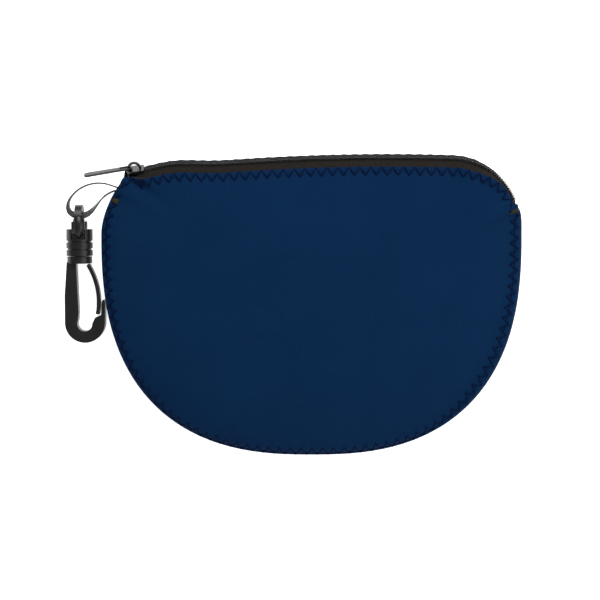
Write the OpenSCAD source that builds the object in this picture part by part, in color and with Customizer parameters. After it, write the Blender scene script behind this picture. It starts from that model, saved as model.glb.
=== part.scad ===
// Small D-shaped zip pouch in neoprene, with a ribbon loop and a plastic swivel hook.
// It lies on its back panel: +Z is the front, +Y the zip, +X the end where the zip opens to.

/* [Pouch] */
// Half of the width at the widest line
half_width = 89; // [87:0.5:91]
// Distance of the widest line above the origin
wide_y = 30; // [28:1:32]
// Depth of the rounded bottom below the widest line
drop = 94; // [90:1:98]
// Squareness of the outline and of the profiles
roundness = 2.55; // [2.2:0.05:2.8]
// Thickness of the neoprene
wall = 3; // [2:0.5:4]
// Height of the edge seam above the surface
seam_z = 10; // [9:0.5:11]
// Rise of the front panel above the seam
crown = 12; // [10:0.5:14]
// Line across the front panel where the lip bends
hinge_y = 40; // [36:1:42]

/* [Zip] */
// Slope of the zip band: 0 faces the front edge, 90 faces up
band_tilt = 30; // [20:1:40]
// Radius of the long gentle curve of the chain
zip_r = 900; // [850:10:1000]
// Radius of the chain round the right corner
corner_r = 24; // [22:0.5:26]
// Width of one half of the coil
coil_w = 2.1; // [1.9:0.1:2.2]
// Height of the coil
coil_h = 2; // [1.6:0.1:2]
// Width of tape that shows beside the coil, front
tape_front = 4.8; // [4:0.2:5.4]
// Width of tape that shows beside the coil, back
tape_back = 2.4; // [2:0.2:3]
// Thickness of the woven tape
tape_t = 0.6; // [0.4:0.1:0.7]

/* [Slider] */
// Place of the closed slider along X
slider_x = -74.2; // [-75:0.1:-73]
// Length of the slider's body
slider_l = 7.4; // [7:0.1:8]
// Width of the slider's body
slider_w = 6.6; // [6.4:0.1:6.8]
// Thickness of each plate
plate_t = 0.9; // [0.8:0.1:1]
// Length of the pull tab from its bar
tab_l = 20; // [18:0.5:22]
// Droop of the pull tab from the chain's line
tab_droop = 3; // [1:0.5:3]

/* [Hook] */
// Place of the swivel axis along X
hook_x = -98.6; // [-99.5:0.1:-98.4]
// Height of the swing axis above the surface
hook_z = 6.8; // [6.8:0.1:7.2]
// Slope of the hook down to its tip
hook_pitch = 4.3; // [4:0.1:4.5]
// Radius of the ribbed barrel and of the eye's ends
barrel_r = 5.6; // [5.2:0.1:5.8]
// Thickness of the flat hook
hook_t = 5.6; // [5:0.1:5.8]

/* [Hidden] */

navy = [0.035, 0.13, 0.28];
dark_thread = [0.02, 0.06, 0.15];
black = [0.05, 0.05, 0.05];
tack_brown = [0.2, 0.18, 0.15];

// ---- The chain's path: a long arc about zip_c, then a tight arc round the right corner ----
zip_c = [32, -838.6];
zip_z = 10.5;
turn_x = 60;
path_left = asin((-79 - zip_c.x) / zip_r);
path_rest = asin((slider_x - zip_c.x) / zip_r);
path_turn = asin((turn_x - zip_c.x) / zip_r);
path_end = 80;
corner_c = zip_c + (zip_r - corner_r) * [sin(path_turn), cos(path_turn)];

function smooth(t) = let(c = min(1, max(0, t))) c * c * (3 - 2 * c);
function chain_xy(a) = a <= path_turn
    ? zip_c + zip_r * [sin(a), cos(a)]
    : corner_c + corner_r * [sin(a), cos(a)];
function tilt(a) = band_tilt * (1 - smooth((a - 18) / 34));
// The band narrows to nothing at both ends of the mouth
function narrow(a) = a <= path_turn
    ? smooth((chain_xy(a).x + 81) / 11)
    : 1 - 0.95 * smooth((a - 25) / 55);
function band_pt(a, w, h) = let(
    c = chain_xy(a), out = [sin(a), cos(a)], b = tilt(a),
    reach = w * sin(b) + h * cos(b))
    [c.x + out.x * reach, c.y + out.y * reach, zip_z - w * cos(b) + h * sin(b)];
edge_gap = 0.8;
edge_rise = 0.6;
function front_w(a) = coil_w + tape_front * narrow(a);
function back_w(a) = coil_w + tape_back * narrow(a);
function front_rim(a) = band_pt(a, -front_w(a) - edge_gap, edge_rise);
function back_rim(a) = let(spare = 1 - narrow(a))
    band_pt(a, back_w(a) + edge_gap + 1.2 * spare, edge_rise - 0.6 * spare);

long_arc = [for (i = [0:14]) path_left + (path_turn - path_left) * i / 14];
corner_arc = [for (i = [1:12]) path_turn + (path_end - path_turn) * i / 12];
path = concat(long_arc, corner_arc);

// ---- The outline: top edge of each panel as a table over x, and the bottom as a formula ----
shoulder_x = -62;
shoulder = [27, 33];
side_x = half_width - 0.4;
left_edge = [for (i = [0:8]) let(
    x = -side_x + (side_x - 79.6) * i / 8,
    y = wide_y + shoulder.y * pow(1 - pow((shoulder_x - x) / shoulder.x, 1.8), 1 / 1.8))
    [x, y, smooth((x + 86) / 6.5)]];
right_edge = [for (i = [0:5]) let(
    x = 84.4 + (side_x - 84.4) * i / 5)
    [x, 33 + 7.5 * pow(1 - pow((x - 84.4) / (half_width - 84.4), 2), 0.5), 1 - smooth((x - 84) / 3)]];
function edge_table(rims) = concat(
    [for (p = left_edge) [p.x, p.y, seam_z + p.z * (rims[0].z - seam_z)]],
    rims,
    [for (p = right_edge) [p.x, p.y, seam_z + p.z * (rims[len(rims) - 1].z - seam_z)]]);
front_table = edge_table([for (a = path) front_rim(a)]);
back_table = edge_table([for (a = path) back_rim(a)]);
function column_y(t) = [for (p = t) [p.x, p.y]];
function column_z(t) = [for (p = t) [p.x, p.z]];
front_ty = column_y(front_table);
front_tz = column_z(front_table);
back_ty = column_y(back_table);
back_tz = column_z(back_table);
function bottom_y(x) =
    wide_y - drop * pow(1 - pow(abs(x) / half_width, roundness), 1 / roundness);

// ---- Heights of the two outer surfaces ----
function rise(u, p) = pow(1 - pow(1 - min(1, u), p), 0.5);
function front_z(x, y) = let(
    yb = bottom_y(x), yt = lookup(x, front_ty), zt = lookup(x, front_tz),
    v = min(1, (y - yb) / (yt - yb)),
    top = max(zt, seam_z + crown * pow(1 - pow(abs(x) / side_x, 3), 0.5)))
    v <= 0.5 ? seam_z + (top - seam_z) * rise(v / 0.5, 2.6)
             : zt + (top - zt) * (1 - pow((v - 0.5) / 0.5, 3));
function back_z(x, y) = let(
    yb = bottom_y(x), yt = lookup(x, back_ty), zt = lookup(x, back_tz),
    v = min(1, (y - yb) / (yt - yb)),
    low = seam_z * (1 - min(1, 1.12 * pow(1 - pow(abs(x) / side_x, 5), 0.5))),
    u = max(0, (v - 0.76) / 0.24))
    v <= 0.3 ? seam_z - (seam_z - low) * rise(v / 0.3, 2.6)
             : low + (zt - low) * (1 - pow(1 - pow(u, 2.2), 0.5));

// The inner face is the outer one shrunk towards the seam, and square to the band at the zip
function inner(p, depth, zip_part) = let(
    k = (depth - wall) / depth,
    s = [p.x * (half_width - wall) / half_width,
         wide_y + (p.y - wide_y) * (drop - wall) / drop,
         seam_z + (p.z - seam_z) * k],
    a = asin((p.x - zip_c.x) / zip_r),
    n = [sin(a) * cos(band_tilt), cos(a) * cos(band_tilt), sin(band_tilt)])
    s * (1 - zip_part) + (p - 0.8 * wall * n) * zip_part;
function at_zip(x) = smooth((x + 80) / 4) * (1 - smooth((x - 66) / 12));

rows = 11;
function spread(j, n) = 0.5 - 0.5 * cos(180 * j / n);
function front_column(x, y0, y1) = [for (j = [0:rows]) let(y = y0 + (y1 - y0) * spread(j, rows))
    [x, y, front_z(x, y)]];
function back_column(x) = let(y0 = bottom_y(x), y1 = lookup(x, back_ty))
    [for (j = [0:rows]) let(y = y0 + (y1 - y0) * spread(j, rows)) [x, y, back_z(x, y)]];
function inner_grid(grid, depth, table) = [for (c = grid) [for (p = c)
    inner(p, depth, at_zip(p.x) * smooth((p.y - lookup(p.x, table) + 6) / 6))]];

// A wall between an outer and an inner grid of points
module shell(outer, within) {
    m = len(outer);
    n = len(outer[0]);
    function o(i, j) = i * n + j;
    function w(i, j) = m * n + i * n + j;
    function quad(a, b, c, d) = [[a, b, c], [a, c, d]];
    faces = concat(
        [for (i = [0:m - 2], j = [0:n - 2]) each quad(o(i, j), o(i, j + 1), o(i + 1, j + 1), o(i + 1, j))],
        [for (i = [0:m - 2], j = [0:n - 2]) each quad(w(i, j), w(i + 1, j), w(i + 1, j + 1), w(i, j + 1))],
        [for (i = [0:m - 2]) each quad(o(i, 0), o(i + 1, 0), w(i + 1, 0), w(i, 0))],
        [for (i = [0:m - 2]) each quad(o(i + 1, n - 1), o(i, n - 1), w(i, n - 1), w(i + 1, n - 1))],
        [for (j = [0:n - 2]) each quad(o(0, j + 1), o(0, j), w(0, j), w(0, j + 1))],
        [for (j = [0:n - 2]) each quad(o(m - 1, j), o(m - 1, j + 1), w(m - 1, j + 1), w(m - 1, j))]);
    polyhedron(concat([for (c = outer) each c], [for (c = within) each c]), faces);
}

// A solid through a row of closed sections that all have the same number of points
module skin(sections) {
    m = len(sections);
    n = len(sections[0]);
    sides = [for (i = [0:m - 2], j = [0:n - 1]) let(k = (j + 1) % n)
        each [[i * n + j, i * n + k, (i + 1) * n + k], [i * n + j, (i + 1) * n + k, (i + 1) * n + j]]];
    ends = [[for (j = [n - 1:-1:0]) j], [for (j = [0:n - 1]) (m - 1) * n + j]];
    polyhedron([for (s = sections) each s], concat(sides, ends));
}

lip_left = -76;
lip_right = front_rim(path_end).x;
step = 0.3;
// The lip's lower edge: the hinge line, drawn up to the rim at the left end of the mouth
function cut_y(x) = let(rim = lookup(x, front_ty))
    rim - (rim - hinge_y) * (0.14 + 0.86 * smooth((x - lip_left) / 10));
function between(a, b, n) = [for (i = [0:n]) a + (b - a) * i / n];
function wide_columns() = concat(
    [for (i = [0:6]) -side_x + (side_x + lip_left - step) * pow(i / 6, 1.5)],
    between(lip_left - step + 0.1, 60, 26),
    between(62, lip_right + step - 0.1, 12));

module back_panel() {
    grid = [for (x = concat(wide_columns(), between(lip_right + step, side_x, 5))) back_column(x)];
    color(navy) shell([for (i = [len(grid) - 1:-1:0]) grid[i]],
        inner_grid([for (i = [len(grid) - 1:-1:0]) grid[i]], seam_z, back_ty));
}

module front_panel() {
    // The shoulders run up to the outline, and the middle stops at the lip
    left = [for (i = [0:6]) -side_x + (side_x + lip_left - step) * pow(i / 6, 1.5)];
    middle = concat([lip_left], between(lip_left + 2, -64, 6), between(-60, lip_right + step - 0.1, 30));
    right = between(lip_right + step, side_x, 5);
    function full(x) = front_column(x, bottom_y(x), lookup(x, front_ty));
    grid = concat([for (x = left) full(x)],
        [for (x = middle) front_column(x, bottom_y(x), cut_y(x) - step / 2)],
        [for (x = right) full(x)]);
    columns = [for (i = [len(grid) - 1:-1:0]) grid[i]];
    color(navy) shell(columns, inner_grid(columns, crown, front_ty));
}

module front_lip() {
    rims = [for (a = path) if (front_rim(a).x > lip_left + 1) front_rim(a)];
    xs = concat([lip_left + 0.3], between(lip_left + 2, -64, 6), [for (p = rims) if (p.x > -63) p.x]);
    grid = [for (x = xs) front_column(x, cut_y(x) + step / 2, lookup(x, front_ty))];
    color(navy) shell(grid, inner_grid(grid, crown, front_ty));
}

// ---- Threads ----
thread = 0.25;
function seam_r(t) =
    pow(pow(abs(cos(t)) / half_width, roundness) + pow(abs(sin(t)) / drop, roundness), -1 / roundness);
function seam_xy(t) = [0, wide_y] + seam_r(t) * [cos(t), sin(t)];
nose_r = 2.2;
function seam_section(t, turn, w) = let(
    p = seam_xy(t), q = seam_xy(t + 0.1) - seam_xy(t - 0.1), out = [q.y, -q.x] / norm(q),
    n = [out.x * cos(turn), out.y * cos(turn), sin(turn)],
    s = [-out.x * sin(turn), -out.y * sin(turn), cos(turn)],
    c = [p.x - nose_r * out.x, p.y - nose_r * out.y, seam_z] + (nose_r + 0.1) * n)
    [c - w * s - thread * n, c + w * s - thread * n, c + w * s + thread * n, c - w * s + thread * n];

module seam_thread() {
    stitches = 70;
    color(dark_thread) skin([for (k = [0:4 * stitches])
        seam_section(-180 + 178 * k / (4 * stitches), 55 * cos(90 * k), 0.42)]);
}

function zigzag_section(a, w, h) = [band_pt(a, w - 0.4, h - thread), band_pt(a, w + 0.4, h - thread),
    band_pt(a, w + 0.4, h + thread), band_pt(a, w - 0.4, h + thread)];
long_steps = 54;
corner_steps = 12;
stitch_end = 71;
function stitch_path(from) = concat(
    [for (i = [0:long_steps]) from + (path_turn - from) * i / long_steps],
    [for (i = [1:corner_steps]) path_turn + (stitch_end - path_turn) * i / corner_steps]);

module zip_stitch_front() {
    places = stitch_path(path_rest + 0.3);
    color(dark_thread) skin([for (k = [0:len(places) - 1]) let(
        a = places[k], out = k % 2)
        zigzag_section(a, -front_w(a) - edge_gap - 1.6 + 2.4 * out, edge_rise + 0.5 - 0.5 * out)]);
}

module zip_stitch_back() {
    places = stitch_path(path_rest + 0.3);
    color(dark_thread) skin([for (k = [0:len(places) - 1]) let(
        a = places[k], out = k % 2)
        zigzag_section(a, back_w(a) + edge_gap + 1.4 - 2.2 * out, edge_rise + 0.1 - 0.1 * out)]);
}

// A bar of close stitches over the edge seam, at a point of the outline that faces an angle
module tack(p, facing) {
    translate([p.x, p.y, seam_z]) rotate([0, 0, facing]) translate([-nose_r, 0, 0])
        rotate([90, 0, 0]) rotate([0, 0, -20]) rotate_extrude(angle = 100, $fn = 48)
            translate([nose_r - 0.2, -0.8]) square([0.9, 1.6]);
}

module bar_tack_left() {
    color(tack_brown) tack([-85.4, 43.6], 155);
}

module bar_tack_right() {
    color(tack_brown) tack([85.6, 40.4], 40);
}

// ---- Zip ----
function strip(a, w0, w1, h0, h1) =
    [band_pt(a, w0, h0), band_pt(a, w1, h0), band_pt(a, w1, h1), band_pt(a, w0, h1)];
coil_gap = 0.09;
coil_start = path_rest - 0.1;
coil_end = 72;
tape_end = 73.4;
stop_at = 75.4;
function part_of_path(from, to) = concat([from], [for (a = path) if (a > from + 0.05 && a < to - 0.5) a], [to]);

module zip_tape_front() {
    color(black) skin([for (a = part_of_path(path_rest - 0.1, tape_end))
        strip(a, -front_w(a), -coil_w - coil_gap, -tape_t / 2, tape_t / 2)]);
}

module zip_tape_back() {
    color(black) skin([for (a = part_of_path(path_left, tape_end))
        strip(a, coil_w + coil_gap, back_w(a) + 0.05, -tape_t / 2, tape_t / 2)]);
}

module zip_coil_front() {
    color(black) skin([for (a = part_of_path(coil_start, coil_end))
        strip(a, -coil_w, -coil_gap, -coil_h / 2, coil_h / 2)]);
}

module zip_coil_back() {
    color(black) skin([for (a = part_of_path(coil_start, coil_end))
        strip(a, coil_gap, coil_w, -coil_h / 2, coil_h / 2)]);
}

module coil_thread_front() {
    color(black) skin([for (a = part_of_path(path_rest + 0.3, coil_end))
        strip(a, -1.6, -1.2, coil_h / 2 + 0.08, coil_h / 2 + 0.2)]);
}

module coil_thread_back() {
    color(black) skin([for (a = part_of_path(path_rest + 0.3, coil_end))
        strip(a, 1.2, 1.6, coil_h / 2 + 0.08, coil_h / 2 + 0.2)]);
}

// Carries a child from the slider's own frame to its place: x along the chain, z out of the band
module on_chain(a) {
    c = chain_xy(a);
    translate([c.x, c.y, zip_z]) rotate([0, 0, -a]) rotate([tilt(a) - 90, 0, 0]) children();
}

module bottom_stop() {
    color("dimgray") on_chain(stop_at) difference() {
        translate([-0.7, -2.6, -1.5]) cube([1.4, 5.2, 3]);
        translate([-1, -1.9, -1.05]) cube([2, 3.8, 2.1]);
    }
}

// ---- Slider and pull tab, in the slider's frame ----
channel = coil_h / 2 + 0.25;
bridge_x = -0.4;
bridge_z = channel + plate_t + 0.1;
bridge_r = 3;
bridge_t = 0.9;
bar_x = -1.7;
bar_r = 0.5;
bar_z = channel + plate_t + 0.15 + bar_r;

module plate() {
    e = slider_l / 2;
    s = slider_w / 2;
    linear_extrude(plate_t) polygon([[-e, -1.3], [-e + 1.4, -s + 0.3], [e - 0.8, -s], [e, -s + 0.8],
        [e, s - 0.8], [e - 0.8, s], [-e + 1.4, s - 0.3], [-e, 1.3]]);
}

module flanges() {
    for (side = [-1, 1])
        translate([-1.6, side * (slider_w / 2 - 0.35) - 0.35, -0.05]) cube([slider_l / 2 + 1.2, 0.7, 0.75]);
}

module slider_body() {
    color([0.08, 0.08, 0.09]) on_chain(path_rest) {
        translate([0, 0, channel]) plate();
        translate([0, 0, -channel - plate_t]) plate();
        translate([0, 0, channel - 0.65]) flanges();
        translate([0, 0, -channel]) flanges();
        translate([-2.75, 0, -channel - 0.1]) cylinder(h = 2 * channel + 0.2, r = 0.7, $fn = 32);
        difference() {
            translate([bridge_x, 0.65, bridge_z]) rotate([90, 0, 0])
                rotate_extrude(angle = 180, $fn = 64) translate([bridge_r - bridge_t, 0]) square([bridge_t, 1.3]);
            translate([-5, -2, channel]) cube([10, 4, 0.5]);
        }
        for (x = [bridge_x - bridge_r, bridge_x + bridge_r - bridge_t])
            translate([x, -0.65, channel + plate_t - 0.1]) cube([bridge_t, 1.3, 0.25]);
    }
}

module pull_tab() {
    eye_l = 4.8;
    color([0.08, 0.08, 0.09]) on_chain(path_rest) translate([bar_x, 0, bar_z]) rotate([0, -tab_droop, 0]) {
        rotate([90, 0, 0]) cylinder(h = 2.9, r = bar_r, center = true, $fn = 32);
        difference() {
            translate([0, 0, -0.45]) linear_extrude(0.9) polygon([[0, -1.45], [0, 1.45], [-6, 1.3],
                [-tab_l + 1, 1.5], [-tab_l, 0.8], [-tab_l, -0.8], [-tab_l + 1, -1.5], [-6, -1.3]]);
            translate([-eye_l, -0.9, -1]) cube([eye_l + 1, 1.8, 2]);
        }
        for (side = [-1, 1]) translate([0, side * 1.175, 0])
            rotate([90, 0, 0]) cylinder(h = 0.55, r = bar_r, center = true, $fn = 32);
    }
}

// ---- Ribbon loop: route of the ribbon's middle, and its turn from standing to lying flat ----
strap_w = 2.7;
strap_t = 0.7;
strap_route = [[-81.5, 48.9, 10.6, 0], [-83.5, 49.5, 10.6, 0], [-87, 50.7, 10.4, 0], [-91, 51, 9.8, 0],
    [-95, 50.2, 9, 0], [-98.5, 48.6, 8.2, 0], [-101.5, 46, 7.4, 0], [-103.2, 43.4, 6.8, 10],
    [-103.6, 41, 6.4, 25], [-103, 39.1, 6.2, 45], [-101.6, 37.9, 6.1, 65], [-100, 37.4, 6, 80],
    [-98.6, 37.3, 6, 85], [-97, 37.4, 6, 80], [-95.2, 38, 6.1, 65], [-93.4, 39.3, 6.4, 45],
    [-91.6, 41.2, 7, 25], [-89.8, 43.4, 7.8, 10], [-87.6, 45.6, 8.6, 0], [-85.2, 47, 9.2, 0],
    [-83.2, 47.75, 9.4, 0], [-81.5, 47.9, 9.4, 0]];
function route_pt(i) = [strap_route[i].x, strap_route[i].y, strap_route[i].z];
function route_dir(i) = let(
    p = route_pt(max(0, i - 1)), q = route_pt(min(len(strap_route) - 1, i + 1))) (q - p) / norm(q - p);
function unit(v) = v / norm(v);

module hanger_strap() {
    color(black) skin([for (i = [0:len(strap_route) - 1]) let(
        t = route_dir(i), side = unit(cross(t, [0, 0, 1])), up = cross(side, t), g = strap_route[i][3],
        wide = up * cos(g) + side * sin(g), thin = cross(t, wide), c = route_pt(i),
        u = wide * strap_w / 2, v = thin * strap_t / 2)
        [c + u + v, c + u - v, c - u - v, c - u + v]]);
}

module strap_tack() {
    color(dark_thread) translate([-81.3, 46.9, seam_z - 1.8]) cube([0.8, 3, 3.6]);
}

// ---- Hook, in its own frame: origin on the swing axis, -y towards the tip ----
module in_hook_frame() {
    translate([hook_x, 36.3, hook_z]) rotate([hook_pitch, 0, 0]) children();
}

eye_hole_r = 3;
eye_stretch = 3.3;
barrel_top = -4.8;
barrel_end = -16;
fork_y = -8.9;
pin_r = 2.35;
head_r = 2.95;
fit = 0.1;
groove = 0.6;

// A cylinder along y from y0 up to y1
module rod(r, y0, y1) {
    translate([0, y1, 0]) rotate([90, 0, 0]) cylinder(h = y1 - y0, r = r, $fn = 64);
}

// A slab across x with round ends, standing in the y-z plane
module stadium(r, thick) {
    translate([-thick / 2, 0, 0]) rotate([90, 0, 90]) {
        cylinder(h = thick, r = r, $fn = 64);
        translate([-eye_stretch, 0, 0]) cylinder(h = thick, r = r, $fn = 64);
        translate([-eye_stretch, -r, 0]) cube([eye_stretch, 2 * r, thick]);
    }
}

module swivel_eye() {
    color(black) in_hook_frame() difference() {
        union() {
            difference() {
                rod(barrel_r, barrel_end, barrel_top);
                translate([-3, fork_y, -10]) cube([6, 10, 20]);
                for (y = [-10.4, -13.6]) difference() {
                    rod(barrel_r + 1, y, y + 0.8);
                    rod(barrel_r - groove, y - 1, y + 2);
                }
            }
            stadium(barrel_r, 3);
            intersection() {
                stadium(barrel_r, 5.4);
                translate([-5, -12, -10]) cube([10, 10.5, 20]);
            }
            translate([-2.7, fork_y - 0.8, -4]) cube([5.4, 3, 8]);
        }
        stadium(eye_hole_r, 10);
        rod(pin_r + fit, barrel_end - 1, -13);
        rod(head_r + fit, -13.5, -10.7);
    }
}

tip_c = [2.3, -44.5];
tip_r = 8.5;
bowl_c = [2.2, -44.9];
bowl_r = 3.2;
collar_y = -19.2;
collar_r = 5.3;

// The flat hook: a shank, a round end and a nose, cut by a round bowl
module hook_flat() {
    outline = concat([[-5.2, collar_y + 0.5], [-6.2, -33]],
        [for (g = [180:7.5:360]) tip_c + tip_r * [cos(g), sin(g)]],
        [[11, -36], [10.6, -34.7], [9.9, -34.7], [9.5, -35.6], [9.2, -41.2], [6.6, -42.3]],
        [bowl_c + [bowl_r - 0.2, -0.2], bowl_c + [0.2 - bowl_r, -0.2]],
        [[-0.3, -40], [-1.3, collar_y + 0.5]]);
    difference() {
        linear_extrude(hook_t) polygon(outline);
        translate([bowl_c.x, bowl_c.y, -1]) cylinder(h = hook_t + 2, r = bowl_r, $fn = 64);
    }
}

module hook_body() {
    color(black) in_hook_frame() {
        rod(collar_r, collar_y, barrel_end - 0.4);
        rod(pin_r, barrel_end - 1, -13.4);
        rod(head_r, -13.4, -10.8);
        translate([0, 0, -hook_t / 2]) hook_flat();
    }
}

gate_root = [4, -20.3];
gate_t = 1.6;
gate_w = 4.6;

module hook_gate() {
    // The leaf follows an arc from its root to the inside of the nose
    r = 30;
    first = 30.3;
    c = gate_root - r * [cos(first), sin(first)];
    function leaf(radius) = [for (i = [0:12]) c + radius * [cos(first - 3.4 * i), sin(first - 3.4 * i)]];
    color(black) in_hook_frame() translate([0, 0, -gate_w / 2]) {
        translate([gate_root.x, gate_root.y, 0]) cylinder(h = gate_w, r = gate_t / 2, $fn = 32);
        linear_extrude(gate_w) polygon(concat(leaf(r + gate_t / 2),
            [for (i = [12:-1:0]) leaf(r - gate_t / 2)[i]]));
    }
}

back_panel();
front_panel();
front_lip();
seam_thread();
zip_stitch_front();
zip_stitch_back();
zip_tape_front();
zip_tape_back();
zip_coil_front();
zip_coil_back();
coil_thread_front();
coil_thread_back();
bottom_stop();
bar_tack_left();
bar_tack_right();
strap_tack();
hanger_strap();
slider_body();
pull_tab();
swivel_eye();
hook_body();
hook_gate();
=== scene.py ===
"""Neoprene zip pouch with a ribbon loop and a moulded swivel hook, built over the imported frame."""
import math

import bmesh
import bpy
import numpy as np
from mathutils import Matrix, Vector


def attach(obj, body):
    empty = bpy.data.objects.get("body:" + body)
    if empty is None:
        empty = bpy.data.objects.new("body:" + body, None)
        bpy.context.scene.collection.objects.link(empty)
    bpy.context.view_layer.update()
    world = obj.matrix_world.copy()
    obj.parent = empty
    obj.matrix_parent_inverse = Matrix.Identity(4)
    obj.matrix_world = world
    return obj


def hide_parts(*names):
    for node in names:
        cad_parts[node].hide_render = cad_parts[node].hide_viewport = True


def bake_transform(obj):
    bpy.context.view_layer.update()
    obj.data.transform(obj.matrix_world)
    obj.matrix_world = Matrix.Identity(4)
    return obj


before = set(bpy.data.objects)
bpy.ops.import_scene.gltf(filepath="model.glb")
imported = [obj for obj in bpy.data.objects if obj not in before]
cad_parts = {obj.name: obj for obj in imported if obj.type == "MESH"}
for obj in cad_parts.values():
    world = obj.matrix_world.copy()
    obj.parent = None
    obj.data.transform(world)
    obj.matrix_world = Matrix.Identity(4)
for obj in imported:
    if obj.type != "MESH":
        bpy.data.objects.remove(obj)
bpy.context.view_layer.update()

# ---- Camera: straight above the pouch, which lies on its back panel with the zip away from the viewer ----
camera_data = bpy.data.cameras.new("camera")
camera_data.lens = 100
camera_data.sensor_width = 36
camera = bpy.data.objects.new("camera", camera_data)
camera.location = (-0.00486, 0.00148, 0.7147)
bpy.context.scene.collection.objects.link(camera)
bpy.context.scene.camera = camera


# ---- The line of the zip: the pieces below are laid along it ----
# A long gentle arc along the top, then a tight arc round the right corner. The band of tape and chain faces
# forwards and up: "across" runs over the band towards the back, and "out" stands square to it. All in mm.
arc_centre = np.array([32.0, -838.6])
arc_radius = 900.0
corner_radius = 28.2
zip_height = 10.5
chain_half = 2.1


def arc_angle(x):
    """The turn from straight up, in degrees, at which the long arc passes x."""
    return math.degrees(math.asin((x - arc_centre[0]) / arc_radius))


left_end, closed_at, turn_at = arc_angle(-79), arc_angle(-74.2), arc_angle(60)
long_run = math.radians(turn_at - left_end) * arc_radius
corner_centre = arc_centre + (arc_radius - corner_radius) * np.array(
    [math.sin(math.radians(turn_at)), math.cos(math.radians(turn_at))])


def ease(t):
    t = np.clip(t, 0, 1)
    return t * t * (3 - 2 * t)


def chain_angle(along):
    along = np.asarray(along, float)
    return np.where(along < long_run, left_end + np.degrees(along / arc_radius),
                    turn_at + np.degrees((along - long_run) / corner_radius))


def chain_place(angle):
    """The chain's middle in plan, and the way it faces there."""
    turned = np.radians(angle)
    facing = np.stack([np.sin(turned), np.cos(turned)], -1)
    on_corner = (angle > turn_at)[..., None]
    place = np.where(on_corner, corner_centre + corner_radius * facing, arc_centre + arc_radius * facing)
    # the top edge is slightly fuller just right of the slider, where the sheet turns down to the left end
    full = 1.8 * np.exp(-((place[..., 0] + 58) / 12.5) ** 2)
    return place + facing * full[..., None], facing


def band_narrowing(angle):
    """1 where the whole width of the band shows, less towards the ends of the mouth."""
    place, _ = chain_place(angle)
    return np.where(angle > turn_at, 1 - 0.7 * ease((angle - 20) / 50), ease((place[..., 0] + 81) / 11))


def band_point(angle, across, out):
    place, facing = chain_place(angle)
    lean = np.radians(30 - 12 * ease((angle - 18) / 40))
    # behind the chain the tape turns down, under the roll of the back panel
    out = out - 0.45 * np.maximum(across - chain_half, 0)
    reach = across * np.sin(lean) + out * np.cos(lean)
    height = zip_height - across * np.cos(lean) + out * np.sin(lean)
    return np.stack([place[..., 0] + facing[..., 0] * reach,
                     place[..., 1] + facing[..., 1] * reach, height], -1)


chain_end_angle = 72.0
chain_length = long_run + math.radians(chain_end_angle - turn_at) * corner_radius


def follow_lip(obj):
    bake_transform(obj)


# ---- Neoprene panels ----
# Two sheets of 3 mm foam rubber faced with knitted nylon jersey, die cut, then sewn edge to edge round the
# curve. Each starts as a square grid pressed into the outline, so the sheet has no pole, and is then crowned.
def srgb(code):
    parts = [int(code[i:i + 2], 16) / 255 for i in (0, 2, 4)]
    return tuple(c / 12.92 if c <= 0.04045 else ((c + 0.055) / 1.055) ** 2.4 for c in parts) + (1,)


def add_node(tree, kind, values=None, links=None, **settings):
    node = tree.nodes.new(kind)
    for name, value in settings.items():
        setattr(node, name, value)
    for socket, value in (values or {}).items():
        node.inputs[socket].default_value = value
    for socket, source in (links or {}).items():
        tree.links.new(source, node.inputs[socket])
    return node


def add_math(tree, operation, first, second=None, third=None):
    """A math node. An input is a number or another node's output."""
    given = {k: value for k, value in enumerate((first, second, third)) if value is not None}
    values = {k: value for k, value in given.items() if isinstance(value, (int, float))}
    links = {k: value for k, value in given.items() if k not in values}
    return add_node(tree, "ShaderNodeMath", values, links, operation=operation).outputs[0]


def add_noise(tree, scale, detail=2.0, roughness=0.5):
    """Noise over the object's own coordinates, as an output from 0 to 1."""
    where = add_node(tree, "ShaderNodeTexCoord")
    return add_node(tree, "ShaderNodeTexNoise", {"Scale": scale, "Detail": detail, "Roughness": roughness},
                    {"Vector": where.outputs["Object"]}).outputs["Fac"]


def add_range(tree, source, low, high, start=0.0, end=1.0):
    """The source's run from start to end, turned into one from low to high."""
    return add_node(tree, "ShaderNodeMapRange", {1: start, 2: end, 3: low, 4: high}, {0: source}).outputs[0]


def add_blend(tree, share, first, second):
    """The way from the first colour to the second that the share says."""
    return add_node(tree, "ShaderNodeMix", {6: srgb(first), 7: srgb(second)}, {0: share},
                    data_type="RGBA").outputs[2]


def add_bump(tree, height, strength, distance):
    return add_node(tree, "ShaderNodeBump", {"Strength": strength, "Distance": distance},
                    {"Height": height}).outputs[0]


def start_material(name):
    material = bpy.data.materials.new(name)
    material.use_nodes = True
    material.node_tree.nodes.clear()
    return material, material.node_tree


def end_material(tree, values, links):
    shader = add_node(tree, "ShaderNodeBsdfPrincipled", values, links)
    add_node(tree, "ShaderNodeOutputMaterial", links={"Surface": shader.outputs["BSDF"]})


def make_piece(name, mesh, *materials):
    if isinstance(mesh, bmesh.types.BMesh):
        data = bpy.data.meshes.new(name)
        mesh.to_mesh(data)
        mesh.free()
        mesh = data
    for material in materials:
        mesh.materials.append(material)
    mesh.polygons.foreach_set("use_smooth", [True] * len(mesh.polygons))
    obj = bpy.data.objects.new(name, mesh)
    bpy.context.scene.collection.objects.link(obj)
    return obj


half_width, widest_y, drop, squareness = 89.0, 30.0, 94.0, 2.55
middle = np.array([0.0, 4.0])


def even_run(points, count):
    """The run of points laid out again at even steps."""
    points = np.array(points, float)
    steps = np.r_[0, np.cumsum(np.linalg.norm(np.diff(points[:, :2], axis=0), axis=1))]
    at = np.linspace(0, steps[-1], count + 1)[:-1]
    return np.stack([np.interp(at, steps, points[:, k]) for k in range(points.shape[1])], 1)


def back_rim(share):
    """How far across the band the back sheet's edge stands."""
    return chain_half + 2.0 * share + 0.3


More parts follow.
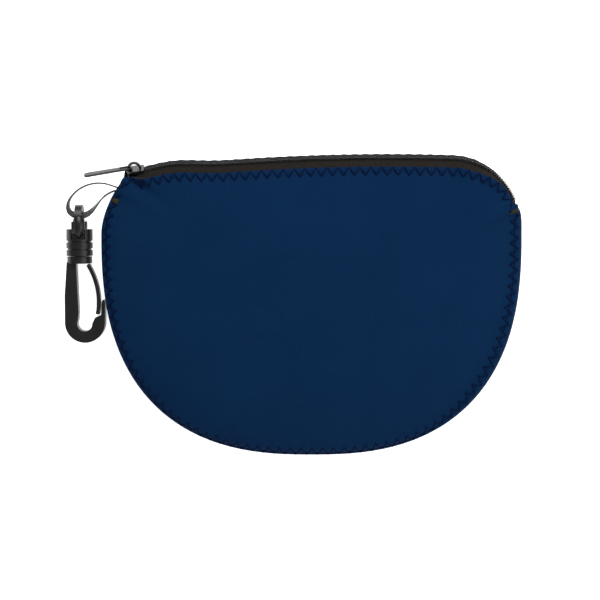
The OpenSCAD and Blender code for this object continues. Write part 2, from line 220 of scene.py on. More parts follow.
def edge_loops():
    """Rows of x, y, z, zip share and inset round the whole edge, for the front sheet and for the back one."""
    angles = chain_angle(np.linspace(0, chain_length, 260))[::-1]
    share = band_narrowing(angles)
    front = band_point(angles, -(chain_half + 6.6 * share) - 0.8, 0.6)
    back = band_point(angles, back_rim(share), 0.5)
    side = [(86 + 3 * math.sin(t), 33 + 9.2 * math.cos(t) ** 0.8) for t in np.linspace(math.pi / 2, 0.06, 40)]
    right = [(half_width, y) for y in np.linspace(widest_y, 33, 6)[:-1]] + side
    left = [(-62 - 27 * u, widest_y + 34.5 * (1 - u ** 1.7) ** 0.62)
            for u in 1 - 0.345 * np.linspace(1, 0, 60) ** 2]
    turns = np.linspace(math.pi, 2 * math.pi, 240)
    radius = (abs(np.cos(turns) / half_width) ** squareness
              + abs(np.sin(turns) / drop) ** squareness) ** (-1 / squareness)
    below = [(r * math.cos(t), widest_y + r * math.sin(t)) for r, t in zip(radius, turns)]

    def seam_rows(points, rims):
        """The sewn edge: drawn in on top of the roll, and raised to meet the zip's rims at both ends."""
        rows = []
        for x, y in points:
            inset = 0.9 + (2.5 * ease((x - 40) / 40) * ease((42 - y) / 6) if x > 0 else
                           1.1 * ease((-x - 50) / 35) * ease((53 - y) / 12))
            if y > 36:
                inset *= float(ease((42 - y) / 4 if x > 0 else (54 - y) / 6))
            rise = 0.9 * inset
            if x > 0 and y > 33:
                rise += (rims[0][2] - 10) * float(ease((y - 37.5) / 4.4))
            if x < 0 and y > 44:
                rise += (rims[-1][2] - 10) * float(ease((y - 44) / 9.4))
            rows.append((x, y, 10 + rise, 0, inset))
        return rows

    def loop(rims):
        zip_rows = [(p[0], p[1], p[2], 1, 0) for p in rims]
        rows = seam_rows(right, rims) + zip_rows + seam_rows(left, rims) + seam_rows(below, rims)
        rows = np.array(rows)
        top = len(right) + int(np.argmin(abs(rims[:, 0])))
        west = len(right) + len(zip_rows) + len(left)
        south = west + int(np.argmin(abs(rows[west:, 0])))
        quarters = [rows[:top + 1], rows[top:west + 1], rows[west:south + 1],
                    np.vstack([rows[south:], rows[:1]])]
        rows = np.vstack([even_run(q, 300) for q in quarters])
        # the zip share and the inset change softly, so the two ways of crowning run into each other
        for column in (3, 4):
            wide = np.r_[rows[-12:, column], rows[:, column], rows[:12, column]]
            rows[:, column] = np.convolve(wide, np.ones(25) / 25, "valid")
        return rows

    return loop(front), loop(back)


front_loop, back_loop = edge_loops()


def round_loop(loop, column, turn):
    count = len(loop)
    return np.interp(np.mod(turn, 1) * count, np.arange(count + 1), np.r_[loop[:, column], loop[0, column]])


def outward(loop):
    ahead = np.roll(loop[:, :2], -3, 0) - np.roll(loop[:, :2], 3, 0)
    return np.stack([ahead[:, 1], -ahead[:, 0]], 1) / np.linalg.norm(ahead, axis=1)[:, None]


def seam_line(loop):
    """The sewn edge: the outline drawn in where the seam sits on top of the rolled edge."""
    return loop[:, :2] - outward(loop) * loop[:, 4:5]


front_seam, back_seam = seam_line(front_loop), seam_line(back_loop)
stitch_length = 4.6
closed_seam = np.vstack([front_seam, front_seam[:1]])
edge_steps = np.r_[0, np.cumsum(np.linalg.norm(np.diff(closed_seam, axis=0), axis=1))]
stitch_count = round(edge_steps[-1] / stitch_length)
edge_steps *= stitch_count * stitch_length / edge_steps[-1]


def along_edge(turn):
    return np.interp(np.mod(turn, 1), np.linspace(0, 1, len(edge_steps)), edge_steps)


def turn_at_edge(distance):
    return np.interp(np.mod(distance, edge_steps[-1]), edge_steps, np.linspace(0, 1, len(edge_steps)))


def softened(loop, reach):
    """The loop averaged over its neighbours: the sheet forgets the edge's small steps away from it."""
    wide = np.vstack([loop[-reach:], loop, loop[:reach]])
    weights = np.hanning(2 * reach + 1) / reach
    return np.stack([np.convolve(wide[:, k], weights, "valid") for k in range(loop.shape[1])], 1)


front_edge = np.c_[front_seam, front_loop[:, 2:]]
front_soft = softened(front_edge, 150)


def front_shape(rho, turn):
    near = rho ** 7
    values = [round_loop(front_soft, k, turn) * (1 - near) + round_loop(front_edge, k, turn) * near
              for k in range(5)]
    edge = np.stack(values[:2], -1)
    base, zipped, inset = values[2:]
    plan = middle + rho[..., None] * (edge - middle)
    power = 1.95 - 0.2 * inset
    sewn = np.maximum(1 - rho ** 3.0, 0) ** (1 / power)
    at_zip = 1 - rho ** 2.6
    # a little lower towards the right, with slow waves 0.5 mm high
    waves = 0.5 * np.sin(plan[..., 0] / 21 + 0.6) * np.cos(plan[..., 1] / 26)
    crown = 22.3 - 1.2 * ease((plan[..., 0] - 20) / 60) + waves
    height = base + (crown - base) * (sewn * (1 - zipped) + at_zip * zipped)
    from_edge = (1 - rho) * np.linalg.norm(edge - middle, axis=-1)
    # each stitch draws the foam down a little under its inner end
    pull = 0.5 + 0.5 * np.cos(2 * math.pi * along_edge(turn) / stitch_length)
    height -= (0.30 * pull + 0.10) * np.exp(-((from_edge - 2.5) / 1.5) ** 2)
    height -= 0.22 * np.exp(-(from_edge / 0.9) ** 2)
    return np.stack([plan[..., 0], plan[..., 1], height], -1)


def back_shape(rho, turn):
    seam = np.stack([round_loop(back_seam, k, turn) for k in (0, 1)], -1)
    outline = np.stack([round_loop(back_loop, k, turn) for k in (0, 1)], -1)
    top, zipped = (round_loop(back_loop, k, turn) for k in (2, 3))
    widest = np.where(zipped > 0.5, top - 1.2, np.minimum(9.0, top - 0.8))
    roll = 0.945
    q = np.clip(rho / roll, 0, 1)
    t = np.clip((rho - roll) / (1 - roll), 0, 1) * math.pi / 2
    plan = middle + q[..., None] * (outline - middle)
    plan = plan + (seam - outline) * (1 - np.cos(t))[..., None]
    height = widest * (1 - np.sqrt(np.maximum(1 - q ** 5, 0))) + (top - widest) * np.sin(t)
    pull = 0.5 - 0.5 * np.cos(2 * math.pi * along_edge(turn) / stitch_length)
    height -= 0.15 * pull * np.exp(-((1 - rho) * 90 / 2) ** 2) * (1 - zipped)
    return np.stack([plan[..., 0], plan[..., 1], height], -1)


def sheet_mesh(shape, cells, flip):
    """A square grid pressed into the outline. Its UV map is the flat sheet, in metres."""
    bm = bmesh.new()
    bmesh.ops.create_grid(bm, x_segments=cells, y_segments=cells, size=1)
    bm.verts.ensure_lookup_table()
    flat = np.array([v.co[:2] for v in bm.verts])
    disc = flat * np.sqrt(1 - flat[:, ::-1] ** 2 / 2)
    rho = np.linalg.norm(disc, axis=1)
    turn = np.mod(np.arctan2(disc[:, 1], disc[:, 0]) / (2 * math.pi), 1)
    rho = np.clip(1 - (1 - np.clip(rho, 0, 1)) ** 1.25, 0, 1)
    rho[np.max(abs(flat), axis=1) > 0.9999] = 1
    reach = np.zeros(len(rho))
    last = shape(np.zeros(len(rho)), turn)
    for step in range(1, 41):
        here = shape(rho * step / 40, turn)
        reach += np.linalg.norm(here - last, axis=1)
        last = here
    way = last[:, :2] - middle
    way /= np.maximum(np.linalg.norm(way, axis=1), 1e-6)[:, None]
    spread = (middle + way * reach[:, None]) / 1000
    for v, place in zip(bm.verts, last / 1000):
        v.co = place
    if flip:
        bmesh.ops.reverse_faces(bm, faces=bm.faces)
    layer = bm.loops.layers.uv.new("cloth")
    for face in bm.faces:
        for corner in face.loops:
            corner[layer].uv = spread[corner.vert.index]
    return bm, rho, turn


def knit_height(tree, wale, course):
    """Jersey: columns of small V stitches, from the sheet's own UV map. Sizes in mm."""
    place = add_node(tree, "ShaderNodeUVMap", uv_map="cloth")
    split = add_node(tree, "ShaderNodeSeparateXYZ", links={0: place.outputs["UV"]})
    column = add_math(tree, "MULTIPLY", split.outputs["X"], 1000 / wale)
    row = add_math(tree, "MULTIPLY", split.outputs["Y"], 1000 / course)
    fold = add_math(tree, "PINGPONG", column, 1.0)
    slant = add_math(tree, "MULTIPLY_ADD", fold, 0.8, row)
    loops = add_math(tree, "SINE", add_math(tree, "MULTIPLY", slant, 2 * math.pi))
    rib = add_math(tree, "SINE", add_math(tree, "MULTIPLY", column, math.pi))
    return add_math(tree, "MULTIPLY_ADD", loops, 0.45, add_math(tree, "ABSOLUTE", rib))


# Nylon jersey bonded to foam: matt, a faint nap that lights up at a low angle, deep navy with slight mottling,
# and painted shade in the knit's hollows
jersey, tree = start_material("jersey_faced_neoprene")
knit = knit_height(tree, 0.62, 0.74)
lint = add_noise(tree, 900.0)
broad = add_blend(tree, add_noise(tree, 45.0, 3.0, 0.6), "042243", "08294c")
# painted shade: the colour's value follows the knit's height, darker in the hollows between the stitches
knit_hollow_shade = add_range(tree, knit, 0.72, 1.1, 0.2, 1.3)
tone = add_node(tree, "ShaderNodeHueSaturation", links={"Value": knit_hollow_shade, "Color": broad})
nap = add_math(tree, "MULTIPLY_ADD", lint, 0.35, knit)
end_material(tree, {"Sheen Weight": 0.03, "Sheen Roughness": 0.4, "Sheen Tint": srgb("4468a8"),
                    "Specular IOR Level": 0.04},
             {"Base Color": tone.outputs[0], "Roughness": add_range(tree, lint, 0.72, 0.92),
              "Normal": add_bump(tree, nap, 0.55, 0.00016)})

# The inside face: the same jersey undyed black, loosely lit, with painted shade in the knit's hollows
lining, tree = start_material("black_jersey_lining")
knit = knit_height(tree, 0.62, 0.74)
# painted shade: the colour's value follows the knit's height, darker in the hollows between the stitches
knit_hollow_shade = add_range(tree, knit, 0.5, 1.15, 0.2, 1.3)
tone = add_node(tree, "ShaderNodeHueSaturation", {"Color": srgb("16181c")}, {"Value": knit_hollow_shade})
end_material(tree, {"Roughness": 0.9, "Sheen Weight": 0.15, "Specular IOR Level": 0.2},
             {"Base Color": tone.outputs[0], "Normal": add_bump(tree, knit, 0.6, 0.00018)})

# The cut edge: closed-cell foam rubber, fine bubbles about 0.3 mm across, each darkened towards its middle with
# painted shade
foam, tree = start_material("cut_foam_rubber")
where = add_node(tree, "ShaderNodeTexCoord")
cells = add_node(tree, "ShaderNodeTexVoronoi", {"Scale": 3000.0}, {"Vector": where.outputs["Object"]})
bubble_pits_and_shade = cells.outputs["Distance"]
end_material(tree, {"Roughness": 0.95, "Specular IOR Level": 0.15},
             # painted shade: the colour is darker towards each bubble's middle, where its hollow lies
             {"Base Color": add_blend(tree, bubble_pits_and_shade, "08090c", "1c1e24"),
              "Normal": add_bump(tree, bubble_pits_and_shade, 0.5, 0.0001)})


def finish_sheet(name, bm, rho, turn, loop):
    sheet = make_piece(name, bm, jersey, lining, foam)
    # the foam is pressed thin under the zip's stitching
    zipped = round_loop(loop, 3, turn)
    from_edge = (1 - rho) * 60
    wall = 1 - 0.62 * zipped * (1 - ease(from_edge / 6)) - 0.35 * (1 - zipped) * (1 - ease(from_edge / 4))
    group = sheet.vertex_groups.new(name="wall")
    for i, share in enumerate(wall):
        group.add([i], float(share), "REPLACE")
    solid = sheet.modifiers.new("wall", "SOLIDIFY")
    solid.thickness = 0.003
    solid.offset = -1
    solid.vertex_group = "wall"
    solid.material_offset = 1
    solid.material_offset_rim = 2
    return sheet


front_sheet = finish_sheet("front_neoprene", *sheet_mesh(front_shape, 132, False), front_loop)
follow_lip(front_sheet)
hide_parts("front_panel", "front_lip")
back_sheet = finish_sheet("back_neoprene", *sheet_mesh(back_shape, 132, True), back_loop)
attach(back_sheet, "pouch")
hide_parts("back_panel")


# ---- Zigzag seams ----
# Bonded polyester thread, dark navy, in a zigzag 4.6 mm long: it joins the two sheets edge to edge round the
# curve, and holds each sheet on its zip tape along the mouth.
def tube(name, points, thickness, material, sides=1, smooth=True):
    """A thread laid through points, in mm, as a mesh."""
    line = bpy.data.curves.new(name, "CURVE")
    line.dimensions = "3D"
    line.bevel_depth = thickness / 2000
    line.bevel_resolution = sides
    line.use_fill_caps = True
    line.resolution_u = 2 if smooth else 1
    spline = line.splines.new("NURBS" if smooth else "POLY")
    spline.points.add(len(points) - 1)
    spline.points.foreach_set("co", np.c_[np.array(points) / 1000, np.ones(len(points))].ravel())
    if smooth:
        spline.order_u = 3
        spline.use_endpoint_u = True
    holder = bpy.data.objects.new(name, line)
    bpy.context.scene.collection.objects.link(holder)
    mesh = bpy.data.meshes.new_from_object(holder.evaluated_get(bpy.context.evaluated_depsgraph_get()))
    bpy.data.objects.remove(holder)
    mesh.materials.clear()
    return make_piece(name, mesh, material)


def twisted_thread(name, dark, light, turns):
    """Spun thread: fine slanting plies, with a painted highlight that runs from the dark colour to the light
    one on each ply in turn.
    """
    material, tree = start_material(name)
    where = add_node(tree, "ShaderNodeTexCoord")
    ply_relief_and_highlight = add_node(tree, "ShaderNodeTexWave", {"Scale": turns, "Distortion": 1.5, "Detail": 1.0},
                   {"Vector": where.outputs["Object"]}, bands_direction="DIAGONAL").outputs["Fac"]
    # the light colour is a painted highlight along each ply
    end_material(tree, {"Roughness": 0.8, "Specular IOR Level": 0.05},
                 {"Base Color": add_blend(tree, ply_relief_and_highlight, dark, light), "Normal": add_bump(tree, ply_relief_and_highlight, 0.4, 0.00008)})
    return material


# the second colour of each thread is its painted ply highlight
navy_thread = twisted_thread("bonded_polyester_thread", "020b20", "06163a", 700.0)


def edge_reach(turn):
    """How far the front sheet's edge is from its middle, in mm."""
    return np.hypot(*[round_loop(front_seam, k, turn) - middle[k] for k in (0, 1)])


def on_front(distance, depth, lift):
    """The point of the front sheet that lies depth mm square in from the edge."""
    turn = turn_at_edge(distance)
    out = outward(front_loop)[int(turn * len(front_loop)) % len(front_loop)]
    wanted = np.array([round_loop(front_seam, k, turn) for k in (0, 1)]) - out * depth
    along, inward = distance, depth
    for _ in range(5):
        turn = turn_at_edge(along)
        place = front_shape(np.array([1 - inward / edge_reach(turn)]), np.array([turn]))[0]
        miss = wanted - place[:2]
        # at the two kinks of the edge the search could run away: it stays within a stitch of where it began
        inward = min(max(inward - float(miss @ out), depth - 1.5), depth + 1.5)
        along = min(max(along + float(miss @ np.array([-out[1], out[0]])), distance - 3.2), distance + 3.2)
    return place + np.array([0, 0, lift])


def on_back(distance, depth, lift):
    """The same on the back sheet's rolled edge."""
    turn = turn_at_edge(distance)
    place = back_shape(np.array([1 - depth / 92]), np.array([turn]))[0]
    index = int(turn * len(back_loop)) % len(back_loop)
    return place + np.r_[outward(back_loop)[index] * lift, lift * 0.3]


zip_starts = edge_steps[int(np.argmax(front_loop[:, 3] > 0.5))]
zip_ends = edge_steps[len(front_loop) - int(np.argmax(front_loop[::-1, 3] > 0.5))]
seam_points, mouth_points = [], []
for stitch in range(2 * stitch_count + 1):
    distance = stitch * stitch_length / 2
    inner = stitch % 2 == 0
    on_zip = zip_starts - 1 < distance < zip_ends + 1
    if on_zip:
        tip = on_front(distance, 3.5, 0.2) if inner else on_front(distance, -0.1, -0.1)
        mouth_points.append(tip)
    else:
        rim = on_front(distance - stitch_length / 4, 0.15, 0.22)
        tip = on_front(distance, 2.1, 0.18) if inner else on_back(distance, 1.6, 0.16)
        seam_points.append((distance, rim, tip))

# the seam's run starts at the left end of the mouth and goes round the curve to the right end
seam_points = ([p for p in seam_points if p[0] >= zip_ends + 1]
               + [p for p in seam_points if 0 < p[0] < zip_starts - 1])
seam_run = []
for _, rim, tip in seam_points:
    seam_run += [rim, tip, tip]
seam_zigzag = tube("seam_zigzag", seam_run, 0.6, navy_thread, 2)
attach(seam_zigzag, "pouch")
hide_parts("seam_thread")
mouth_run = []
for tip, after in zip(mouth_points, mouth_points[1:]):
    mouth_run += [tip, tip, (tip * 0.5 + after * 0.5) + np.array([0, 0, 0.28])]
mouth_zigzag = tube("mouth_zigzag", mouth_run, 0.6, navy_thread, 2)
follow_lip(mouth_zigzag)
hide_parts("zip_stitch_front")
back_run = []
for k, along in enumerate(np.arange(8.0, chain_length - 6, stitch_length / 2)):
    angle = chain_angle(along)
    rim = back_rim(band_narrowing(angle))
    back_run.append(band_point(angle, rim + (1.6 if k % 2 else -0.5), 0.9 if k % 2 else 0.45))
back_zigzag = tube("back_zigzag", back_run, 0.5, navy_thread, 2)
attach(back_zigzag, "pouch")
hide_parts("zip_stitch_back")

# ---- Zip tapes ----
# Woven polyester tape, brownish black, 0.5 mm thick: it shows beside the chain and tucks under both sheets.
woven, tree = start_material("woven_polyester_tape")
place = add_node(tree, "ShaderNodeUVMap", uv_map="cloth")
split = add_node(tree, "ShaderNodeSeparateXYZ", links={0: place.outputs["UV"]})
# twill lines about 0.45 mm apart, drawn a little coarser than the real weave so that they show
rib_turn = 2 * math.pi / 0.00045
zig = add_math(tree, "PINGPONG", split.outputs["Y"], 0.0012)
lean = add_math(tree, "ADD", split.outputs["X"], zig)
twill = add_math(tree, "SINE", add_math(tree, "MULTIPLY", lean, rib_turn))
rows = add_math(tree, "SINE", add_math(tree, "MULTIPLY", split.outputs["Y"], 12000.0))
cloth = add_math(tree, "MULTIPLY_ADD", rows, 0.5, twill)
# painted shade: the colour follows the weave's relief, darker in the grooves between the twill lines and the
# rows
painted_weave_shade = add_blend(tree, add_range(tree, cloth, 0, 1, -1.5, 1.5), "0a0806", "1e1914")
end_material(tree, {"Roughness": 0.9, "Sheen Weight": 0.01, "Specular IOR Level": 0.05},
             {"Base Color": painted_weave_shade, "Normal": add_bump(tree, cloth, 0.5, 0.00012)})


def tape_mesh(profile, start, end):
    """A strip along the chain. profile gives across and out, in mm, for each thread line across the tape."""
    count = int((end - start) / 1.2)
    rows = len(profile(0.0))
    bm = bmesh.new()
    bmesh.ops.create_grid(bm, x_segments=count, y_segments=rows - 1, size=1)
    bm.verts.ensure_lookup_table()
    layer = bm.loops.layers.uv.new("cloth")
    spread = {}
    for v in bm.verts:
        along = start + (v.co.x + 1) / 2 * (end - start)
        row = round((v.co.y + 1) / 2 * (rows - 1))
        angle = chain_angle(along)
        across, out = profile(float(band_narrowing(angle)))[row]
        v.co = band_point(angle, across, out) / 1000
        spread[v.index] = (along / 1000, row * 0.0007)
    for face in bm.faces:
        for corner in face.loops:
            corner[layer].uv = spread[corner.vert.index]
    bmesh.ops.recalc_face_normals(bm, faces=bm.faces)
    return bm


def thicken(obj, amount):
    solid = obj.modifiers.new("thickness", "SOLIDIFY")
    solid.thickness = amount
    solid.offset = 0
    soft = obj.modifiers.new("soft_edge", "BEVEL")
    soft.width = amount * 0.3
    soft.segments = 2
    soft.limit_method = "ANGLE"


def front_profile(share):
    """From under the coil, over a slight swell, to the edge tucked under the front sheet."""
    shown = [(-1.8 - 7.1 * share * k / 6, 0.12 * math.sin(math.pi * k / 6) - 0.1) for k in range(1, 7)]
    return [(-1.6, -0.15)] + shown + [(-2.3 - 6.7 * share, -0.9)]


def back_profile(share):
    """From under the coil straight back, and under the roll of the back sheet."""
    shown = [(1.8 + 2.9 * share * k / 4 + 0.5 * k / 4, 0) for k in range(1, 5)]
    return [(1.6, -0.15)] + shown + [(3.6 + 3.0 * share, -0.3)]


tape_thickness = 0.0005
front_tape = make_piece("front_tape", tape_mesh(front_profile, 5.5, chain_length + 0.4), woven)
thicken(front_tape, tape_thickness)
follow_lip(front_tape)
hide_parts("zip_tape_front")
back_tape = make_piece("back_tape", tape_mesh(back_profile, 0.5, chain_length + 0.4), woven)
thicken(back_tape, tape_thickness)
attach(back_tape, "pouch")
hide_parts("zip_tape_back")

# ---- Coil chain ----
# Two monofilaments of 0.56 mm nylon wound into flat coils, pitch 1.15 mm, each sewn to its tape with one line
# of thread: their heads interlock along the middle of the chain.
nylon, tree = start_material("nylon_monofilament")
drawn = add_noise(tree, 1500.0)
end_material(tree, {"IOR": 1.53, "Specular IOR Level": 0.22},
             {"Base Color": add_blend(tree, drawn, "060607", "101011"),
              "Roughness": add_range(tree, drawn, 0.26, 0.45)})
pitch, wire, points_per_turn = 1.15, 0.56, 8
rest_along = math.radians(closed_at - left_end) * arc_radius


def coil_run(side, start, end):
    """One half of the chain. The back half starts half a pitch further on, so that the heads alternate."""
    points = []
    for k in range(int((end - start) / pitch * points_per_turn)):
        phase = 2 * math.pi * k / points_per_turn
        along = start + pitch * (k / points_per_turn + (0.5 if side > 0 else 0))
        across = side * (0.8 - 0.92 * math.cos(phase))
        points.append(band_point(chain_angle(along), across, 0.46 * math.sin(phase) + 0.08))
    return points


for side, name, body in ((-1, "front", "lip"), (1, "back", "pouch")):
    coil = tube(f"{name}_coil", coil_run(side, rest_along - 1.5, chain_length - 1.2), wire, nylon, 1)
    thread_line = []
    for k, along in enumerate(np.arange(rest_along + 4.7, chain_length - 1.6, pitch / 4)):
        thread_line.append(band_point(chain_angle(along), side * 1.2, 0.86 + 0.06 * math.cos(math.pi * k / 2)))
    sewn = tube(f"{name}_coil_thread", thread_line, 0.3, nylon, 1)
    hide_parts(f"zip_coil_{name}")
    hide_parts(f"coil_thread_{name}")
    for obj in (coil, sewn):
        if body == "lip":
            follow_lip(obj)
        else:
            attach(obj, "pouch")

# ---- Bar tacks and the ends of the zip ----
# A few close stitches of olive-brown thread bind each end of the mouth over the edge seam. A pressed metal stop
# closes the chain under the right-hand one.
# the second colour is the thread's painted ply highlight
tack_thread = twisted_thread("olive_tack_thread", "15140f", "3f3b2f", 900.0)
left_tack_at = edge_steps[int(np.argmin(np.linalg.norm(front_seam - np.array([-84.4, 44.0]), axis=1)))]
tack_passes, tack_width = 13, 1.7
for name, node, middle_of_tack, inset in (("left_tack", "bar_tack_left", left_tack_at, 0),
                                          ("right_tack", "bar_tack_right", zip_starts - 3.6, 1.2)):
    run = []
    for k in range(tack_passes):
        distance = middle_of_tack + (k / (tack_passes - 1) - 0.5) * tack_width
        run += [on_front(distance, 2.5 + inset, 0.25), on_front(distance, 1.3 + inset, 0.45),
                on_front(distance, 0.2, 0.45), on_back(distance, 1.0, 0.3),
                on_front(distance, 0.2, 0.4), on_front(distance, 1.3 + inset, 0.4)]
    tack = tube(name, run, 0.42, tack_thread, 1)
    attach(tack, "pouch")
    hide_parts(node)


def moulded(name, node, material, rounding, segments=2, boss=None):
    """A copy of a frame solid, its edges rounded as the mould or die leaves them, with a boss if it has one."""
    bm = bmesh.new()
    bm.from_mesh(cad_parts[node].data)
    bmesh.ops.remove_doubles(bm, verts=bm.verts, dist=1e-6)
    bmesh.ops.dissolve_limit(bm, angle_limit=math.radians(1.0), verts=bm.verts, edges=bm.edges)
    sharp = math.radians(30)
    corners = [e for e in bm.edges if len(e.link_faces) == 2 and e.calc_face_angle(0) > sharp]
    bmesh.ops.bevel(bm, geom=corners, offset=rounding, segments=segments, profile=0.5, affect="EDGES",
                    clamp_overlap=True, material=-1)
    if boss:
        centre, radii = boss
        for v in bmesh.ops.create_uvsphere(bm, u_segments=40, v_segments=24, radius=1)["verts"]:
            # pointed ends, like a pip, along the hook
            pinch = max(1 - v.co.y ** 2, 0) ** 0.3
            on_pip = (v.co.x * pinch, v.co.y, v.co.z * pinch)
            v.co = [(c + r * u) / 1000 for c, r, u in zip(centre, radii, on_pip)]
    obj = make_piece(name, bm, material)
    flat = obj.modifiers.new("flat_faces", "WEIGHTED_NORMAL")
    flat.mode = "FACE_AREA"
    flat.weight = 100
    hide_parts(node)
    return obj


# stamped aluminium, dull, dark from handling
stamped, tree = start_material("stamped_aluminium")
end_material(tree, {"Base Color": srgb("77787a"), "Metallic": 1.0},
             {"Roughness": add_range(tree, add_noise(tree, 1200.0, 4.0), 0.3, 0.6)})
stop = moulded("bottom_stop_clip", "bottom_stop", stamped, 0.0002)
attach(stop, "pouch")
strap_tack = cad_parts["strap_tack"]
strap_tack.data.materials.clear()
strap_tack.data.materials.append(navy_thread)

# ---- Slider and pull tab ----
# Die-cast zinc with black lacquer: two plates joined by a post, an arched bridge, and a slim cast tab on it.
lacquer, tree = start_material("black_lacquered_zinc")
orange_peel = add_noise(tree, 800.0)
end_material(tree, {"Specular IOR Level": 0.3, "Coat Weight": 0.15, "Coat Roughness": 0.1},
             {"Base Color": add_blend(tree, orange_peel, "050506", "0b0b0c"),
              "Roughness": add_range(tree, orange_peel, 0.22, 0.4),
              "Normal": add_bump(tree, orange_peel, 0.12, 0.0001)})
slider = moulded("slider_casting", "slider_body", lacquer, 0.00022)
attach(slider, "slider")
tab = moulded("pull_tab_casting", "pull_tab", lacquer, 0.0002)
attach(tab, "tab")

# ---- Ribbon loop ----
# Flat black nylon ribbon, 2.7 mm wide, both ends sewn into the edge seam. It twists a quarter turn on its way
# so that it lies flat through the swivel's eye. Each row gives x, y, z in mm and the twist in degrees.
ribbon_route = [(-81.5, 48.9, 10.6, 0), (-83.5, 49.5, 10.6, 0), (-87, 50.7, 10.4, 0), (-91, 51, 9.8, 0),
                (-95, 50.2, 9, 0), (-98.5, 48.6, 8.2, 0), (-101.5, 46, 7.4, 0), (-103.2, 43.4, 6.8, 10),
                (-103.6, 41, 6.4, 25), (-103, 39.1, 6.2, 45), (-101.6, 37.9, 6.1, 65), (-100, 37.4, 6, 80),
                (-98.6, 37.3, 6, 85), (-97, 37.4, 6, 80), (-95.2, 38, 6.1, 65), (-93.4, 39.3, 6.4, 45),
                (-91.6, 41.2, 7, 25), (-89.8, 43.4, 7.8, 10), (-87.6, 45.6, 8.6, 0), (-85.2, 47, 9.2, 0),
                (-83.2, 47.75, 9.4, 0), (-81.5, 47.9, 9.4, 0)]
route = np.array(ribbon_route)
# laid out as 120 rows and smoothed
fine = np.linspace(0, len(route) - 1, 120)
route = np.stack([np.interp(fine, np.arange(len(route)), route[:, k]) for k in range(4)], 1)
for _ in range(6):
    route[1:-1] = route[1:-1] * 0.5 + (route[:-2] + route[2:]) * 0.25
ribbon_section = [(1.35, 0.0), (1.3, 0.2), (1.12, 0.3), (-1.12, 0.3), (-1.3, 0.2), (-1.35, 0.0),
                  (-1.3, -0.2), (-1.12, -0.3), (1.12, -0.3), (1.3, -0.2)]
steps = np.r_[0, np.cumsum(np.linalg.norm(np.diff(route[:, :3], axis=0), axis=1))]


def ribbon_ring(i):
    ahead = Vector(route[min(i + 1, len(route) - 1), :3] - route[max(i - 1, 0), :3]).normalized()
    side = ahead.cross(Vector((0, 0, 1))).normalized()
    turned = math.radians(route[i, 3])
    wide = side.cross(ahead) * math.cos(turned) + side * math.sin(turned)
    thin = ahead.cross(wide)
    return [(Vector(route[i, :3]) + wide * u + thin * v) / 1000 for u, v in ribbon_section]


bm = bmesh.new()
ring = [bm.verts.new(place) for place in ribbon_ring(0)]
edges = first_edges = [bm.edges.new((ring[k], ring[(k + 1) % 10])) for k in range(10)]
spread = {v: (0, ribbon_section[k][0] / 1000) for k, v in enumerate(ring)}
for i in range(1, len(route)):
    grown = bmesh.ops.extrude_edge_only(bm, edges=edges)["geom"]
    fresh = {tuple(g.co): g for g in grown if isinstance(g, bmesh.types.BMVert)}
    ring = [fresh[tuple(v.co)] for v in ring]
    for k, (v, place) in enumerate(zip(ring, ribbon_ring(i))):
        v.co = place
        spread[v] = (steps[i] / 1000, ribbon_section[k][0] / 1000)
    edges = [bm.edges.get((ring[k], ring[(k + 1) % 10])) for k in range(10)]
bmesh.ops.holes_fill(bm, edges=first_edges + edges, sides=0)
bmesh.ops.recalc_face_normals(bm, faces=bm.faces)
ribbon_uv = bm.loops.layers.uv.new("cloth")
for face in bm.faces:
    for corner in face.loops:
        corner[ribbon_uv].uv = spread[corner.vert]
# Grosgrain: crosswise ribs about 0.45 mm apart and a firm woven edge, satin nylon, with painted shade between
# the ribs
grosgrain, tree = start_material("nylon_grosgrain")
place = add_node(tree, "ShaderNodeUVMap", uv_map="cloth")
split = add_node(tree, "ShaderNodeSeparateXYZ", links={0: place.outputs["UV"]})
rib = add_math(tree, "SINE", add_math(tree, "MULTIPLY", split.outputs["X"], rib_turn))
# painted shade: the colour follows the ribs' relief, darker in the troughs between them
painted_weave_shade = add_blend(tree, add_range(tree, rib, 0, 1, -1.0, 1.0), "17181a", "3a3b3e")
end_material(tree, {"Roughness": 0.5, "Sheen Weight": 0.25, "Specular IOR Level": 0.5},
             {"Base Color": painted_weave_shade, "Normal": add_bump(tree, rib, 0.6, 0.00014)})
ribbon = make_piece("ribbon_loop", bm, grosgrain)
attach(ribbon, "pouch")
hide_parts("hanger_strap")

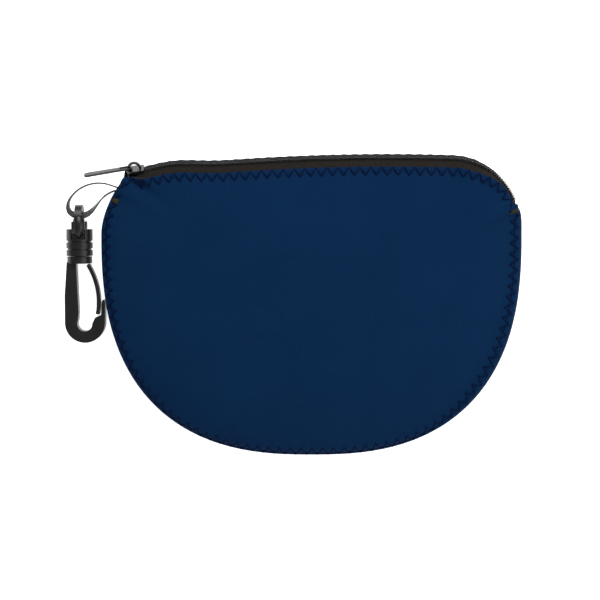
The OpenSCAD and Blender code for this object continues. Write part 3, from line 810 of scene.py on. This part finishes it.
# ---- Swivel hook ----
# Injection-moulded acetal in black: an eye with a ribbed barrel and a pointed boss on its upper side, a flat J
# hook that turns in the barrel on a snap-in pin, and a springy leaf that closes the hook's mouth.
acetal, tree = start_material("moulded_acetal")
handled = add_noise(tree, 160.0, 3.0)
end_material(tree, {"IOR": 1.48, "Specular IOR Level": 0.42},
             {"Base Color": add_blend(tree, handled, "08080a", "101011"),
              "Roughness": add_range(tree, handled, 0.28, 0.5),
              "Normal": add_bump(tree, add_noise(tree, 2600.0, 3.0), 0.18, 0.00006)})
pip = ((-98.3, 33.2, 10.8), (2.7, 5.6, 2.3))
for name, node, body, rounding, boss in (("swivel_eye_moulding", "swivel_eye", "eye", 0.00035, pip),
                                         ("hook_moulding", "hook_body", "hook", 0.0009, None),
                                         ("gate_leaf", "hook_gate", "gate", 0.0003, None)):
    part = moulded(name, node, acetal, rounding, 3, boss)
    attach(part, body)

# ---- Table and light: a white light table, so that nothing throws a shadow on it, under soft lamps ----
bm = bmesh.new()
bmesh.ops.create_grid(bm, x_segments=1, y_segments=1, size=10)
table, tree = start_material("opal_acrylic")
white = (1, 1, 1, 1)
end_material(tree, {"Base Color": srgb("fbfbfb"), "Roughness": 0.9, "Emission Color": white,
                    "Emission Strength": 0.8}, {})
floor = make_piece("floor", bm, table)
floor.location.z = -0.0006
world = bpy.data.worlds.new("studio")
world.use_nodes = True
background = world.node_tree.nodes["Background"]
background.inputs["Color"].default_value = white
background.inputs["Strength"].default_value = 0.34
bpy.context.scene.world = world
for name, place, size, power in (("key", (0.0, 0.65, 0.6), 0.55, 7.6),
                                 ("fill", (0.65, -0.2, 0.6), 0.7, 3.6),
                                 ("front", (-0.1, -0.75, 0.5), 0.6, 1.8)):
    light = bpy.data.lights.new(name, "AREA")
    light.size = size
    light.energy = power
    lamp = bpy.data.objects.new(name, light)
    lamp.location = place
    lamp.rotation_euler = (Vector((0, 0, 0)) - Vector(place)).to_track_quat("-Z", "Y").to_euler()
    bpy.context.scene.collection.objects.link(lamp)
bpy.context.scene.view_settings.view_transform = "Standard"
